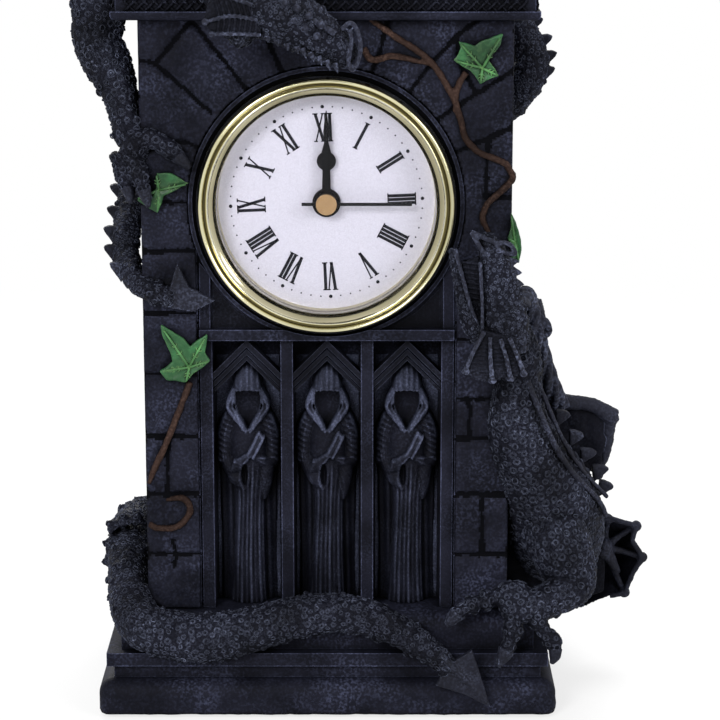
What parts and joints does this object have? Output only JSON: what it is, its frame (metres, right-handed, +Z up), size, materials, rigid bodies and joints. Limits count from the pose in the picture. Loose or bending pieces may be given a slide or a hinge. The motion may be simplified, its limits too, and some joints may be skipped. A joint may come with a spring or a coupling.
{
  "type": "steeple clock",
  "caption": "Gothic tower table clock with a spire, two dragons, hooded monks in lancet windows and a pull-out round quartz clock insert.",
  "frame": {"origin": "middle of the underside, on the surface the clock stands on", "axes": "+Z up, -Y out of the clock's face towards the viewer, +X to the viewer's right"},
  "size_m": [0.1577, 0.1029, 0.267],
  "materials": {
    "felt": "short black felt",
    "stone_resin": "filled cast resin, near black, blue-grey dry brushed",
    "robe_resin": "filled cast resin, near black, blue-grey dry brushed",
    "scale_resin": "filled cast resin, near black, grey dry brushed",
    "vine_brown": "hand painted brown on cast resin",
    "ivy_green": "hand painted green on cast resin",
    "pale_gold": "polished pale gold plate",
    "lens_glass": "clear flat glass",
    "reflector_gold": "plated inner ring",
    "dial_white": "painted white dial plate",
    "hand_black": "satin black",
    "hub_brass": "satin brass cap on a black hand",
    "black_plastic": "moulded black",
    "black_rubber": "soft black band",
    "gear_nylon": "natural white moulding",
    "bright_steel": "bright",
    "coil_copper": "enamelled copper wire",
    "board_green": "green circuit board"
  },
  "bodies": {
    "root": {"base_pad": "felt", "plinth": "stone_resin", "tower_shell": "stone_resin", "window_bars": "stone_resin", "window_heads": "stone_resin", "eave_moulding": "stone_resin", "eave_frieze": "stone_resin", "spire": "stone_resin", "finial": "stone_resin", "lucarne": "stone_resin", "monk_left": "robe_resin", "monk_middle": "robe_resin", "monk_right": "robe_resin", "upper_dragon_body": "scale_resin", "upper_dragon_head": "scale_resin", "upper_dragon_leg": "scale_resin", "upper_dragon_tail": "scale_resin", "upper_dragon_wing": "scale_resin", "upper_dragon_far_wing": "scale_resin", "lower_dragon_body": "scale_resin", "lower_dragon_head": "scale_resin", "lower_dragon_leg": "scale_resin", "lower_dragon_tail": "scale_resin", "lower_dragon_wing": "scale_resin", "lower_dragon_second_wing": "scale_resin", "vine_right": "vine_brown", "vine_left": "vine_brown", "ivy_right": "ivy_green", "ivy_left": "ivy_green"},
    "clock_insert": {"bezel": "pale_gold", "lens": "lens_glass", "reflector_ring": "reflector_gold", "dial": "dial_white", "insert_cup": "black_plastic", "gasket": "black_rubber", "centre_nut": "hand_black", "movement_front_plate": "black_plastic", "movement_bridge": "gear_nylon", "movement_case": "black_plastic", "button_cell": "bright_steel", "cell_contacts": "bright_steel", "stator": "bright_steel", "coil": "coil_copper", "circuit_board": "board_green", "quartz_crystal": "bright_steel", "case_screws": "bright_steel"},
    "minute_drive": {"minute_hand": "hand_black", "cannon_pinion": "gear_nylon"},
    "hour_drive": {"hour_hand": "hand_black", "hour_wheel": "gear_nylon"},
    "setting_drive": {"setting_arbor": "gear_nylon", "setting_knob": "black_plastic"},
    "second_drive": {"second_hand": "hub_brass", "second_wheel": "gear_nylon"},
    "third_drive": {"third_wheel": "gear_nylon"},
    "centre_drive": {"centre_wheel": "gear_nylon"},
    "middle_drive": {"middle_wheel": "gear_nylon"},
    "rotor_drive": {"rotor": "gear_nylon"},
    "cell_door": {"battery_cover": "black_plastic"}
  },
  "joints": [
    {"name": "insert_slide", "type": "slide", "parent": "root", "child": "clock_insert", "axis": [0, -1, 0], "range_m": [0, 0.025]},
    {"name": "cell_door_slide", "type": "slide", "parent": "clock_insert", "child": "cell_door", "axis": [0, 0, 1], "range_m": [0, 0.013]},
    {"name": "minute_hand_turn", "type": "hinge", "parent": "clock_insert", "child": "minute_drive", "pos_m": [0, 0, 0.1322], "axis": [0, 1, 0], "continuous": true},
    {"name": "hour_hand_turn", "type": "hinge", "parent": "clock_insert", "child": "hour_drive", "pos_m": [0, 0, 0.1322], "axis": [0, 1, 0], "continuous": true},
    {"name": "setting_knob_turn", "type": "hinge", "parent": "clock_insert", "child": "setting_drive", "pos_m": [0.0026, 0, 0.12506], "axis": [0, 1, 0], "continuous": true},
    {"name": "second_hand_turn", "type": "hinge", "parent": "clock_insert", "child": "second_drive", "pos_m": [0, 0, 0.1322], "axis": [0, 1, 0], "continuous": true},
    {"name": "third_wheel_turn", "type": "hinge", "parent": "clock_insert", "child": "third_drive", "pos_m": [-0.00624, 0, 0.1358], "axis": [0, 1, 0], "continuous": true},
    {"name": "centre_wheel_turn", "type": "hinge", "parent": "clock_insert", "child": "centre_drive", "pos_m": [0, 0, 0.1322], "axis": [0, 1, 0], "continuous": true},
    {"name": "middle_wheel_turn", "type": "hinge", "parent": "clock_insert", "child": "middle_drive", "pos_m": [0.00288, 0, 0.13719], "axis": [0, 1, 0], "continuous": true},
    {"name": "rotor_turn", "type": "hinge", "parent": "clock_insert", "child": "rotor_drive", "pos_m": [0.00814, 0, 0.1391], "axis": [0, 1, 0], "continuous": true}
  ],
  "couplings": [
    {"joint": "hour_hand_turn", "follows": "minute_hand_turn", "ratio": 0.083333},
    {"joint": "setting_knob_turn", "follows": "minute_hand_turn", "ratio": -0.33333},
    {"joint": "third_wheel_turn", "follows": "second_hand_turn", "ratio": -0.13333},
    {"joint": "centre_wheel_turn", "follows": "second_hand_turn", "ratio": 0.016667},
    {"joint": "middle_wheel_turn", "follows": "second_hand_turn", "ratio": -5},
    {"joint": "rotor_turn", "follows": "second_hand_turn", "ratio": 30}
  ]
}
